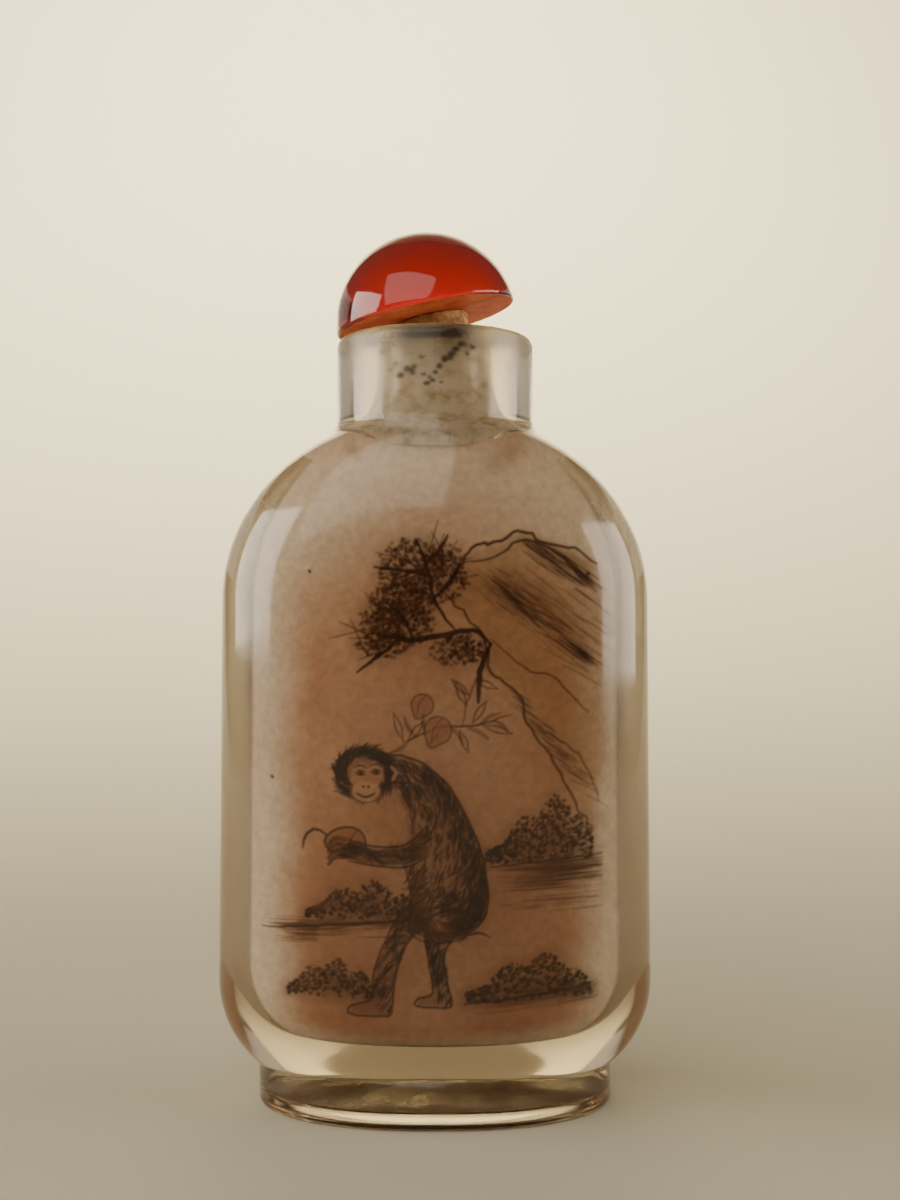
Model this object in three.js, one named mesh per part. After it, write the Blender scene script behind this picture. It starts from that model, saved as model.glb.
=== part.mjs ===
// Glass snuff bottle with a red glass dome stopper on a short cork plug.
// Millimetres, +Z up, the painted front towards -Y. The origin is the middle of the foot's underside.
import * as THREE from 'three';

// The bottle's outside, seen from the front
const footHalfWidth = 14.75;
const footHeight = 3.2;
const bodyHalfWidth = 18.15; // at the lower corners
const shoulderHalfWidth = 17.9; // where the sides end and the shoulders begin
const cornerRadius = 8.5;
const cornerTop = 10.0; // height of the lower corners' centre
const shoulderFoot = 41.8; // height where the shoulders begin
const shoulderRise = 15.7; // from there to the top of the shoulders' ellipse
const neckRadius = 8.25;
const neckFillet = 0.9; // how far the hollow curve under the neck spreads
const neckFilletHeight = 1.55;
const rimHeight = 63.8;
const rimRound = 0.9;

// The bottle's outside, seen from the side
const footHalfDepth = 9.6;
const bodyHalfDepth = 10.2;
const footRise = 0.9; // the foot's top edge is this much higher at the front and back than at its ends
const footRiseRows = 4; // rings of the lower corner over which that rise dies out
const bellyPower = 0.42; // how slowly the flask thins towards the foot: 0 not at all, 1 as its outline does
const sectionPower = 2.3; // the flask's horizontal sections are ovals of this power, the neck's are circles

// The hollow inside
const sideWall = 3.0;
const faceWall = 2.4;
const floorHeight = 6.2;
const innerCornerRadius = 6.0;
const innerShoulderRise = 13.4;
const boreRadius = 3.15;
const boreFlareHeight = 60.4; // the bore starts to widen downwards here
const throatRadius = 5.6; // and meets the roof of the hollow at this radius
const throatNarrow = { wider: 0.15, height: 58.0 }; // two points that pull the flare into a trumpet
const throatWide = { wider: 0.75, height: 55.6 };
const mouthRound = 0.3;

// The foot's underside
const footEdge = 0.45; // small bevel round the foot's lower edge
const rimOfFoot = 2.0; // width of the ring that the bottle stands on
const recessDepth = 0.9;
const recessSlope = 0.55; // the recess's wall leans in by this much

// The stopper: a cap cut from a ball, and a tapered plug with a worn, rounded end
const ballRadius = 7.65;
const domeHeight = 7.2;
const domeEdge = 0.15; // the dome's sharp lower edge is blunted by this much
const stopperLean = THREE.MathUtils.degToRad(11.9); // the right side is raised
const domeGap = 0.25; // between the dome's left edge and the neck's rim
const plugGap = 0.3; // between the plug and the dome's underside
const plugTopRadius = 3.0;
const plugEndRadius = 1.55;
const plugLength = 5.6;
const plugOffset = 0.55; // the plug sits a little to the right of the dome's middle
const plugEndRound = 0.9;
const plugBelly = { share: 0.55, radius: 2.55 }; // the plug's radius at this share of its length

// Fineness of the round forms
const bottleSides = 56;
const domeSides = 40;
const plugSides = 24;

const glass = new THREE.MeshStandardMaterial({
  color: 0xd9d6c2, roughness: 0.05, metalness: 0, transparent: true, opacity: 0.35,
});
const redGlass = new THREE.MeshStandardMaterial({
  color: 0x9a1c14, roughness: 0.05, metalness: 0, transparent: true, opacity: 0.85,
});
const cork = new THREE.MeshStandardMaterial({ color: 0xa8743e, roughness: 0.9, metalness: 0 });

// Points of a curve without its first one, which the outline before it already holds
function along(curve, steps) {
  return curve.getPoints(steps).slice(1);
}

// A quarter or less of an ellipse, as a curve in the (half width, height) plane
function arc(x, z, halfWidth, halfHeight, from, to) {
  const clockwise = to < from;
  return new THREE.EllipseCurve(x, z, halfWidth, halfHeight, from, to, clockwise);
}

// How deep a section is for its half width: an oval in the flask, narrowing to a circle at round
function halfDepthFor(halfWidth, widest, deepest, round) {
  if (halfWidth <= round) return halfWidth;
  const power = Math.log(round / deepest) / Math.log(round / widest);
  return deepest * (halfWidth / widest) ** power;
}

// One row of the bottle's skin: half width, height, half depth and the power of its oval
function row(point, depth, power) {
  return { width: point.x, height: point.y, depth, power };
}

// The power of a section's oval, from a circle at round to the full flask at widest
function powerFor(halfWidth, widest, round) {
  const share = THREE.MathUtils.clamp((halfWidth - round) / (widest - round), 0, 1);
  return 2 + (sectionPower - 2) * Math.sqrt(share);
}

// The underside and the foot, from the middle of the recess to the top of the foot
function footRows() {
  const ring = footHalfWidth - rimOfFoot;
  const outline = [
    new THREE.Vector2(0, recessDepth),
    new THREE.Vector2(ring - recessSlope, recessDepth),
    new THREE.Vector2(ring, 0),
    new THREE.Vector2(footHalfWidth - footEdge, 0),
    new THREE.Vector2(footHalfWidth, footEdge),
    new THREE.Vector2(footHalfWidth, footHeight),
  ];
  return outline.map((point) => {
    const inset = footHalfWidth - point.x;
    return row(point, Math.max(0, footHalfDepth - inset), sectionPower);
  });
}

// The body, shoulders, neck and rolled rim, from the top of the foot to the lip
function outerRows() {
  const centre = bodyHalfWidth - cornerRadius;
  const start = -Math.acos((footHalfWidth - centre) / cornerRadius);
  const corner = arc(centre, cornerTop, cornerRadius, cornerRadius, start, 0);

  // the shoulder's ellipse stops where the fillet under the neck begins
  const filletWidth = neckRadius + neckFillet;
  const end = Math.acos(filletWidth / shoulderHalfWidth);
  const shoulder = arc(0, shoulderFoot, shoulderHalfWidth, shoulderRise, 0, end);
  const shoulderEnd = shoulder.getPoint(1);
  const fillet = new THREE.QuadraticBezierCurve(
    shoulderEnd,
    new THREE.Vector2(neckRadius, shoulderEnd.y + neckFilletHeight / 3),
    new THREE.Vector2(neckRadius, shoulderEnd.y + neckFilletHeight),
  );
  const rim = arc(neckRadius - rimRound, rimHeight - rimRound, rimRound, rimRound, 0, Math.PI / 2);

  const low = along(corner, 7).map((point) => {
    const depth = bodyHalfDepth * (point.x / bodyHalfWidth) ** bellyPower;
    return row(point, depth, sectionPower);
  });
  const high = [shoulder.getPoint(0), ...along(shoulder, 11), ...along(fillet, 4)].map((point) => row(
    point,
    halfDepthFor(point.x, shoulderHalfWidth, bodyHalfDepth, neckRadius),
    powerFor(point.x, shoulderHalfWidth, neckRadius),
  ));
  const neck = rim.getPoints(4).map((point) => row(point, point.x, 2));
  return [...low, ...high, ...neck];
}

// The mouth, bore, throat, roof, walls and floor of the hollow, from the lip down to the axis
function innerRows() {
  const halfWidth = bodyHalfWidth - sideWall;
  const upperHalfWidth = shoulderHalfWidth - sideWall;
  const halfDepth = bodyHalfDepth - faceWall;

  const mouth = arc(
    boreRadius + mouthRound, rimHeight - mouthRound, mouthRound, mouthRound, Math.PI / 2, Math.PI,
  );
  const roofEnd = Math.acos(throatRadius / upperHalfWidth);
  const roof = arc(0, shoulderFoot, upperHalfWidth, innerShoulderRise, roofEnd, 0);
  const throat = new THREE.CubicBezierCurve(
    new THREE.Vector2(boreRadius, boreFlareHeight),
    new THREE.Vector2(boreRadius + throatNarrow.wider, throatNarrow.height),
    new THREE.Vector2(boreRadius + throatWide.wider, throatWide.height),
    roof.getPoint(0),
  );
  const corner = arc(
    halfWidth - innerCornerRadius, floorHeight + innerCornerRadius,
    innerCornerRadius, innerCornerRadius, 0, -Math.PI / 2,
  );

  const bore = [...mouth.getPoints(2), ...throat.getPoints(5)].map((point) => row(
    point,
    halfDepthFor(point.x, upperHalfWidth, halfDepth, boreRadius + mouthRound),
    2,
  ));
  const walls = [...along(roof, 9), ...corner.getPoints(5)].map((point) => row(
    point,
    halfDepthFor(point.x, halfWidth, halfDepth, boreRadius + mouthRound),
    powerFor(point.x, upperHalfWidth, boreRadius),
  ));
  const floor = { width: 0, height: floorHeight, depth: 0, power: 2 };
  return [...bore, ...walls, floor];
}

// Turns the rows as a lathe does, then presses each ring from a circle into its oval
function pressedLathe(rows, sides) {
  const profile = rows.map((entry) => new THREE.Vector2(entry.width, entry.height));
  const geometry = new THREE.LatheGeometry(profile, sides);
  const position = geometry.getAttribute('position');
  for (let i = 0; i < position.count; i += 1) {
    const entry = rows[i % rows.length];
    const turn = (Math.floor(i / rows.length) % sides) * (2 * Math.PI / sides);
    const across = Math.sin(turn);
    const outwards = Math.cos(turn);
    const oval = (Math.abs(across) ** entry.power + Math.abs(outwards) ** entry.power) ** (-1 / entry.power);
    const lift = (entry.lift ?? 0) * outwards ** 2;
    position.setXYZ(i, entry.width * across * oval, entry.height + lift, entry.depth * outwards * oval);
  }
  geometry.rotateX(Math.PI / 2);
  return geometry;
}

function bottleGeometry() {
  const foot = footRows();
  const outer = outerRows();
  foot.at(-1).lift = footRise;
  outer.slice(0, footRiseRows).forEach((entry, i) => {
    entry.lift = footRise * (1 - (i + 1) / (footRiseRows + 1));
  });
  return pressedLathe([...foot, ...outer, ...innerRows()], bottleSides);
}

function domeGeometry() {
  const ballHeight = domeHeight - ballRadius; // the ball's centre is a little below the base
  const start = Math.asin(-ballHeight / ballRadius);
  const skin = arc(0, ballHeight, ballRadius, ballRadius, start, Math.PI / 2);
  const baseRadius = ballRadius * Math.cos(start);
  const profile = [
    new THREE.Vector2(0, 0),
    new THREE.Vector2(baseRadius - domeEdge, 0),
    new THREE.Vector2(baseRadius, domeEdge),
    ...skin.getPoints(12).slice(1, -1),
    new THREE.Vector2(0, domeHeight),
  ];
  const geometry = new THREE.LatheGeometry(profile, domeSides);
  geometry.rotateX(Math.PI / 2);
  return geometry;
}

function plugGeometry() {
  const bottom = -plugGap - plugLength;
  const end = arc(
    plugEndRadius - plugEndRound, bottom + plugEndRound, plugEndRound, plugEndRound, -Math.PI / 2, 0,
  );
  const profile = [
    new THREE.Vector2(0, bottom),
    ...end.getPoints(4),
    new THREE.Vector2(plugBelly.radius, bottom + plugLength * plugBelly.share),
    new THREE.Vector2(plugTopRadius, -plugGap),
    new THREE.Vector2(0, -plugGap),
  ];
  const geometry = new THREE.LatheGeometry(profile, plugSides);
  geometry.rotateX(Math.PI / 2);
  return geometry;
}

const part = new THREE.Group();

const bottle = new THREE.Mesh(bottleGeometry(), glass);
bottle.name = 'bottle';
part.add(bottle);

// The stopper's frame stands in the middle of the dome's underside and leans with it
const domeBaseRadius = Math.sqrt(ballRadius ** 2 - (ballRadius - domeHeight) ** 2);
const stopper = new THREE.Group();
stopper.rotation.y = -stopperLean;
stopper.position.set(
  domeBaseRadius * Math.cos(stopperLean) - neckRadius,
  0,
  rimHeight + domeGap + (domeBaseRadius - rimRound) * Math.sin(stopperLean),
);
part.add(stopper);

const dome = new THREE.Mesh(domeGeometry(), redGlass);
dome.name = 'stopper_dome';
stopper.add(dome);

const plug = new THREE.Mesh(plugGeometry(), cork);
plug.name = 'stopper_cork';
plug.position.x = plugOffset;
stopper.add(plug);

export default part;
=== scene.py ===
"""A clear glass snuff bottle, painted inside, with a red glass dome stopper on a cork plug.

Sizes and places on the bottle and its stopper are in millimetres, and MM turns them into the scene's
metres. Those of the sweep, the lights and the noise are in metres. The painted front is towards -Y.
"""
import math

import bmesh
import bpy
import numpy as np
from mathutils import Matrix, Vector


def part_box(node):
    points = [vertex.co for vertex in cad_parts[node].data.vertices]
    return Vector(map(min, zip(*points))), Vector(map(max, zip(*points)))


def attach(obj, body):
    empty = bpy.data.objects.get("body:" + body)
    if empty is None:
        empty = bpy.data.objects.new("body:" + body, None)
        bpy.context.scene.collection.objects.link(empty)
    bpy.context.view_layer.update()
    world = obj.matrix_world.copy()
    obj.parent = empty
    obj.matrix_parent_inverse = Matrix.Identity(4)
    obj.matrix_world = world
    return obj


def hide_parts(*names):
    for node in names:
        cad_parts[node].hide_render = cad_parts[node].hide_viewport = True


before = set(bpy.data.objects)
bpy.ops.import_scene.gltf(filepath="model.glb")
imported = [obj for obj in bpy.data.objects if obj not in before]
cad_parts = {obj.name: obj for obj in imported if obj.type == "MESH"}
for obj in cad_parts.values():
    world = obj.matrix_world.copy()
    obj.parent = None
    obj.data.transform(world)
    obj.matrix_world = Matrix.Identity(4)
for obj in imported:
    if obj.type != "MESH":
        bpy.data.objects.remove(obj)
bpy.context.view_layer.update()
MM = 0.001

# The glass bottle
# One piece of clear glass: an oval foot with a shallow recess below, a flattened body, a round neck.
# It was blown in a mould and polished outside; the inside was ground matt through the narrow bore.
_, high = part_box("bottle")
body_half_width = high.x / MM
body_half_depth = high.y / MM
rim_height = high.z / MM
foot_half_width, foot_half_depth, foot_height = 14.75, 9.6, 3.2
foot_edge, foot_ring, recess_depth, recess_slope = 0.45, 2.0, 0.9, 0.55
recess_round, slope_end = 0.3, 0.25
crease_below, crease_above, crease_out = 0.25, 0.02, 0.12
foot_rise, foot_rise_height, belly_power = 0.9, 3.4, 0.42
shoulder_half_width, shoulder_foot, shoulder_rise = 17.9, 41.8, 15.7
corner_radius, corner_top = 8.5, 10.0
neck_radius, neck_fillet, neck_fillet_height, rim_round = 8.25, 0.9, 1.55, 0.9
section_power = 2.3
side_wall, face_wall, floor_height, inner_corner = 3.0, 2.4, 6.2, 6.0
inner_rise, bore_radius, mouth_round = 13.4, 3.15, 0.3
flare_height, throat_radius = 60.4, 5.6
throat_pull = [(0.15, 58.0), (0.75, 55.6)]
bottle_sides = 128
soft_steps, edge_steps, rim_steps, fillet_steps, flare_steps = 4, 5, 8, 9, 14
corner_steps, shoulder_steps, roof_steps, inner_corner_steps = 22, 32, 30, 18
merge_distance = 0.0005
glass_colour, glass_tint, glass_density = (0.88, 0.83, 0.74, 1), (0.80, 0.71, 0.57, 1), 84.0
rub_foot, rub_top, rim_rub = 56, 63.5, 0.22
inner_half_width = body_half_width - side_wall
upper_inner_half_width = shoulder_half_width - side_wall
inner_half_depth = body_half_depth - face_wall
mouth_radius = bore_radius + mouth_round
throat_turn = math.acos(throat_radius / upper_inner_half_width)
throat_foot = shoulder_foot + inner_rise * math.sin(throat_turn)


def oval_arc(x, z, half_width, half_height, start, end, steps):
    """Points on part of an upright ellipse, both ends included."""
    turns = [start + (end - start) * i / steps for i in range(steps + 1)]
    return [(x + half_width * math.cos(a), z + half_height * math.sin(a)) for a in turns]


def pulled_curve(points, steps):
    """Points on a Bezier curve through its first and last point, without the first."""
    order = len(points) - 1
    found = []
    for i in range(1, steps + 1):
        t = i / steps
        weights = [math.comb(order, k) * t ** k * (1 - t) ** (order - k) for k in range(order + 1)]
        found.append(tuple(sum(w * p[axis] for w, p in zip(weights, points)) for axis in (0, 1)))
    return found


def half_depth(width, widest, deepest, round_at):
    """The half depth of a section: an oval in the body that narrows to a circle at round_at."""
    if width <= round_at:
        return width
    return deepest * (width / widest) ** (math.log(round_at / deepest) / math.log(round_at / widest))


def oval_power(width, widest, round_at):
    """The power of a section's oval, 2 for a circle."""
    share = min(1, max(0, (width - round_at) / (widest - round_at)))
    return 2 + (section_power - 2) * math.sqrt(share)


def inner_half_width_at(z):
    """The hollow's half width at a height, from its floor to its roof."""
    if z < floor_height + inner_corner:
        drop = floor_height + inner_corner - z
        return inner_half_width - inner_corner + math.sqrt(max(0, inner_corner ** 2 - drop ** 2))
    if z < shoulder_foot:
        share = (z - floor_height - inner_corner) / (shoulder_foot - floor_height - inner_corner)
        return inner_half_width + (upper_inner_half_width - inner_half_width) * share
    return upper_inner_half_width * math.sqrt(max(0, 1 - ((z - shoulder_foot) / inner_rise) ** 2))


def inner_section(z):
    """Half width, half depth and oval power of the hollow at a height."""
    width = inner_half_width_at(z)
    depth = half_depth(width, inner_half_width, inner_half_depth, mouth_radius)
    return width, depth, oval_power(width, upper_inner_half_width, bore_radius)


def foot_profile():
    """Rows of the foot: half width, height, half depth, oval power, and 1 for a row inside the bottle."""
    ring = foot_half_width - foot_ring
    slope_foot = (ring - slope_end, recess_round)
    points = [(0, recess_depth), (ring - recess_slope - recess_round, recess_depth)]
    points += pulled_curve([points[-1], (ring - recess_slope, recess_depth), slope_foot], soft_steps)
    points += pulled_curve([slope_foot, (ring, 0), (ring + recess_round, 0)], soft_steps)
    points += oval_arc(foot_half_width - foot_edge, foot_edge, foot_edge, foot_edge,
                       -math.pi / 2, 0, edge_steps)
    points += [(foot_half_width, foot_height - crease_below)]
    return [(x, z, max(0, foot_half_depth - (foot_half_width - x)), section_power, 0) for x, z in points]


def body_profile():
    """Rows of the body, the shoulders, the neck and its rim."""
    centre = body_half_width - corner_radius
    start = -math.acos((foot_half_width - centre) / corner_radius)
    corner = [(foot_half_width + crease_out, foot_height + crease_above)]
    corner += oval_arc(centre, corner_top, corner_radius, corner_radius, start, 0, corner_steps)[1:]
    end = math.acos((neck_radius + neck_fillet) / shoulder_half_width)
    shoulder = oval_arc(0, shoulder_foot, shoulder_half_width, shoulder_rise, 0, end, shoulder_steps)
    x, z = shoulder[-1]
    fillet = pulled_curve([(x, z), (neck_radius, z + neck_fillet_height / 3),
                           (neck_radius, z + neck_fillet_height)], fillet_steps)
    rim = oval_arc(neck_radius - rim_round, rim_height - rim_round, rim_round, rim_round,
                   0, math.pi / 2, rim_steps)
    rows = [(w, h, body_half_depth * (w / body_half_width) ** belly_power, section_power, 0)
            for w, h in corner]
    rows += [(w, h, half_depth(w, shoulder_half_width, body_half_depth, neck_radius),
              oval_power(w, shoulder_half_width, neck_radius), 0) for w, h in shoulder + fillet]
    return rows + [(w, h, w, 2, 0) for w, h in rim]


def flare(steps):
    """The bore's flare, from its straight part down to the hollow's roof, without its first point."""
    pulls = [(bore_radius + wider, height) for wider, height in throat_pull]
    return pulled_curve([(bore_radius, flare_height), *pulls, (throat_radius, throat_foot)], steps)


def hollow_profile():
    """Rows of the inside, from the mouth down the bore, under the roof and down to the floor."""
    bore = oval_arc(mouth_radius, rim_height - mouth_round, mouth_round, mouth_round,
                    math.pi / 2, math.pi, edge_steps)
    bore += [(bore_radius, flare_height)] + flare(flare_steps)
    roof = oval_arc(0, shoulder_foot, upper_inner_half_width, inner_rise, throat_turn, 0, roof_steps)
    corner = oval_arc(inner_half_width - inner_corner, floor_height + inner_corner,
                      inner_corner, inner_corner, 0, -math.pi / 2, inner_corner_steps)
    rows = [(w, h, half_depth(w, upper_inner_half_width, inner_half_depth, mouth_radius), 2, 1)
            for w, h in bore]
    rows += [(w, h, half_depth(w, inner_half_width, inner_half_depth, mouth_radius),
              oval_power(w, upper_inner_half_width, bore_radius), 1) for w, h in roof[1:] + corner]
    return rows + [(0, floor_height, 0, 2, 1)]


def press_ring(x, y, width, depth, power):
    """Moves a point of a turned ring onto the oval that the ring is pressed into."""
    reach = math.hypot(x, y)
    if reach == 0:
        return 0, 0
    across, outwards = x / reach, y / reach
    scale = (abs(across) ** power + abs(outwards) ** power) ** (-1 / power)
    return width * across * scale, depth * outwards * scale


def turned_bottle():
    """The bottle's skin, outside and inside, spun from one profile and pressed flat."""
    mesh = bmesh.new()
    depths = mesh.verts.layers.float.new("half_depth")
    powers = mesh.verts.layers.float.new("oval_power")
    insides = mesh.verts.layers.float.new("inside")
    last = None
    for width, height, depth, power, inside in foot_profile() + body_profile() + hollow_profile():
        vert = mesh.verts.new((width * MM, 0, height * MM))
        vert[depths], vert[powers], vert[insides] = depth, power, inside
        if last:
            mesh.edges.new((last, vert))
        last = vert
    bmesh.ops.spin(mesh, geom=mesh.verts[:] + mesh.edges[:], cent=(0, 0, 0), axis=(0, 0, 1),
                   angle=2 * math.pi, steps=bottle_sides, use_merge=True)
    for vert in mesh.verts:
        width = math.hypot(vert.co.x, vert.co.y)
        x, y = press_ring(vert.co.x, vert.co.y, width, vert[depths] * MM, vert[powers])
        height = vert.co.z / MM
        rising = 0
        if not vert[insides] and height > foot_height - 2 * crease_below:
            rising = foot_rise * max(0, 1 - max(0, height - foot_height) / foot_rise_height)
        outwards = vert.co.y / width if width else 0
        vert.co = (x, y, vert.co.z + rising * MM * outwards ** 2)
    bmesh.ops.remove_doubles(mesh, verts=mesh.verts[:], dist=merge_distance * MM)
    bmesh.ops.recalc_face_normals(mesh, faces=mesh.faces[:])
    for face in mesh.faces:
        face.smooth = True
        face.material_index = 1 if all(vert[insides] > 0.5 for vert in face.verts) else 0
    return mesh


def piece(name, mesh, *materials):
    """A new object at the origin from a bmesh, riding on the object's one body."""
    data = bpy.data.meshes.new(name)
    mesh.to_mesh(data)
    mesh.free()
    for material in materials:
        data.materials.append(material)
    made = bpy.data.objects.new(name, data)
    bpy.context.collection.objects.link(made)
    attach(made, "root")
    return made


class Finish:
    """A material under way: its shader, and patterns laid on the piece's own coordinates."""

    def __init__(self, name):
        self.material = bpy.data.materials.new(name)
        self.material.use_nodes = True
        self.nodes = self.material.node_tree.nodes
        self.link = self.material.node_tree.links.new
        self.shader = self.nodes["Principled BSDF"]
        self.place = self.nodes.new("ShaderNodeTexCoord").outputs["Object"]

    def plain(self, socket, value):
        """Sets a value that is the same all over."""
        self.shader.inputs[socket].default_value = value

    def feed(self, socket, pattern):
        """Lets a pattern set a value."""
        self.link(pattern, self.shader.inputs[socket])

    def noise(self, scale, detail=3.0, roughness=0.5):
        """Noise at a scale in patches per metre."""
        texture = self.nodes.new("ShaderNodeTexNoise")
        texture.inputs["Scale"].default_value = scale
        texture.inputs["Detail"].default_value = detail
        texture.inputs["Roughness"].default_value = roughness
        self.link(self.place, texture.inputs["Vector"])
        return texture.outputs["Fac"]

    def between(self, value, low_in, high_in, low_out, high_out):
        """A value spread from one range to another."""
        spread = self.nodes.new("ShaderNodeMapRange")
        for socket, number in zip(("From Min", "From Max", "To Min", "To Max"),
                                  (low_in, high_in, low_out, high_out)):
            spread.inputs[socket].default_value = number
        self.link(value, spread.inputs["Value"])
        return spread.outputs["Result"]

    def bump(self, height, depth, strength):
        """Lets a pattern raise the surface by up to a depth in metres."""
        bump = self.nodes.new("ShaderNodeBump")
        bump.inputs["Strength"].default_value = strength
        bump.inputs["Distance"].default_value = depth
        self.link(height, bump.inputs["Height"])
        self.feed("Normal", bump.outputs["Normal"])

    def glass(self, colour, clearness, tint, density):
        """Makes it glass that takes up light with its thickness, at a density for each metre."""
        self.plain("Base Color", colour)
        self.plain("Transmission Weight", clearness)
        self.plain("IOR", 1.5)
        inside = self.nodes.new("ShaderNodeVolumeAbsorption")
        inside.inputs["Color"].default_value = tint
        inside.inputs["Density"].default_value = density
        self.link(inside.outputs["Volume"], self.nodes["Material Output"].inputs["Volume"])


def polished_glass():
    """Polished glass, rubbed and finely scratched, and more so towards the rim."""
    finish = Finish("polished_glass")
    finish.glass(glass_colour, 1.0, glass_tint, glass_density)
    split = finish.nodes.new("ShaderNodeSeparateXYZ")
    finish.link(finish.place, split.inputs["Vector"])
    rubbed = finish.between(finish.noise(260, 4), 0.35, 0.7, 0.06, 0.15)
    at_rim = finish.between(split.outputs["Z"], rub_foot * MM, rub_top * MM, 0.0, rim_rub)
    total = finish.nodes.new("ShaderNodeMath")
    finish.link(rubbed, total.inputs[0])
    finish.link(at_rim, total.inputs[1])
    finish.feed("Roughness", total.outputs["Value"])
    finish.bump(finish.noise(95, 1.5), 0.00006, 0.5)
    return finish.material


def ground_glass():
    """The inside wall, ground matt by grit shaken in the bottle."""
    finish = Finish("ground_glass")
    finish.glass(glass_colour, 1.0, glass_tint, glass_density)
    finish.feed("Roughness", finish.between(finish.noise(700, 4), 0.35, 0.65, 0.20, 0.27))
    finish.bump(finish.noise(2600, 3), 0.00002, 0.5)
    return finish.material


bottle = piece("glass_bottle", turned_bottle(), polished_glass(), ground_glass())
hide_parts("bottle")


# The painting
# A scene painted on the ground inside wall with a bent brush: a pink-brown wash, with a rock, a pine,
# a monkey with peaches and low bushes drawn over it in browns. It is a film of paint and lies on the glass.
film_depth = 0.04
film_foot, film_seam, film_top = 6.4, 30.0, 53.9
front_columns, front_rows, front_seed, front_body = 330, 288, 11, 0.86
back_columns, back_rows, back_seed, back_body = 130, 200, 12, 0.60
wall_haze, full_haze, haze_heights = 0.88, 0.95, (40.0, 50.0)
clear_edge, clear_edge_top, clear_edge_thinning = (0.925, 0.95), 52, 0.50
wash_sides, wash_top, wash_bottom, painted_shade_heights = (9.2, 13.6), (40.0, 55.0), (4.9, 7.4), (14.0, 44.0)


def spread_across(u):
    """A share of the hollow's half width for a share of the film's half width: closest at the middle."""
    shares = np.linspace(0, 1, 6001)
    rises = np.maximum(0, 1 - shares ** section_power) ** (1 / section_power)
    steps = np.hypot(np.diff(shares) * inner_half_width, np.diff(rises) * inner_half_depth)
    lengths = np.concatenate([[0], np.cumsum(steps)])
    wanted = lengths[-1] * (0.75 * abs(u) + 0.25 * abs(u) ** 4)
    return math.copysign(float(np.interp(wanted, lengths, shares)), u)


def film(side, foot, top, columns, rows):
    """A sheet in the skin of the hollow's wall, at its front (-1) or its back (1), between two heights."""
    mesh = bmesh.new()
    across_at = {}
    bmesh.ops.create_grid(mesh, x_segments=columns, y_segments=rows, size=1)
    for vert in mesh.verts:
        u, v = vert.co.x, (vert.co.y + 1) / 2
        z = foot + (top - foot) * v
        width, depth, power = inner_section(z)
        key = round(u, 5)
        if key not in across_at:
            across_at[key] = spread_across(key)
        across = across_at[key]
        outwards = max(0, 1 - abs(across) ** power) ** (1 / power)
        vert.co = ((width + film_depth) * across * MM, side * (depth + film_depth) * outwards * MM, z * MM)
    if side > 0:
        bmesh.ops.reverse_faces(mesh, faces=mesh.faces[:])
    for face in mesh.faces:
        face.smooth = True
    return mesh


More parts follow.
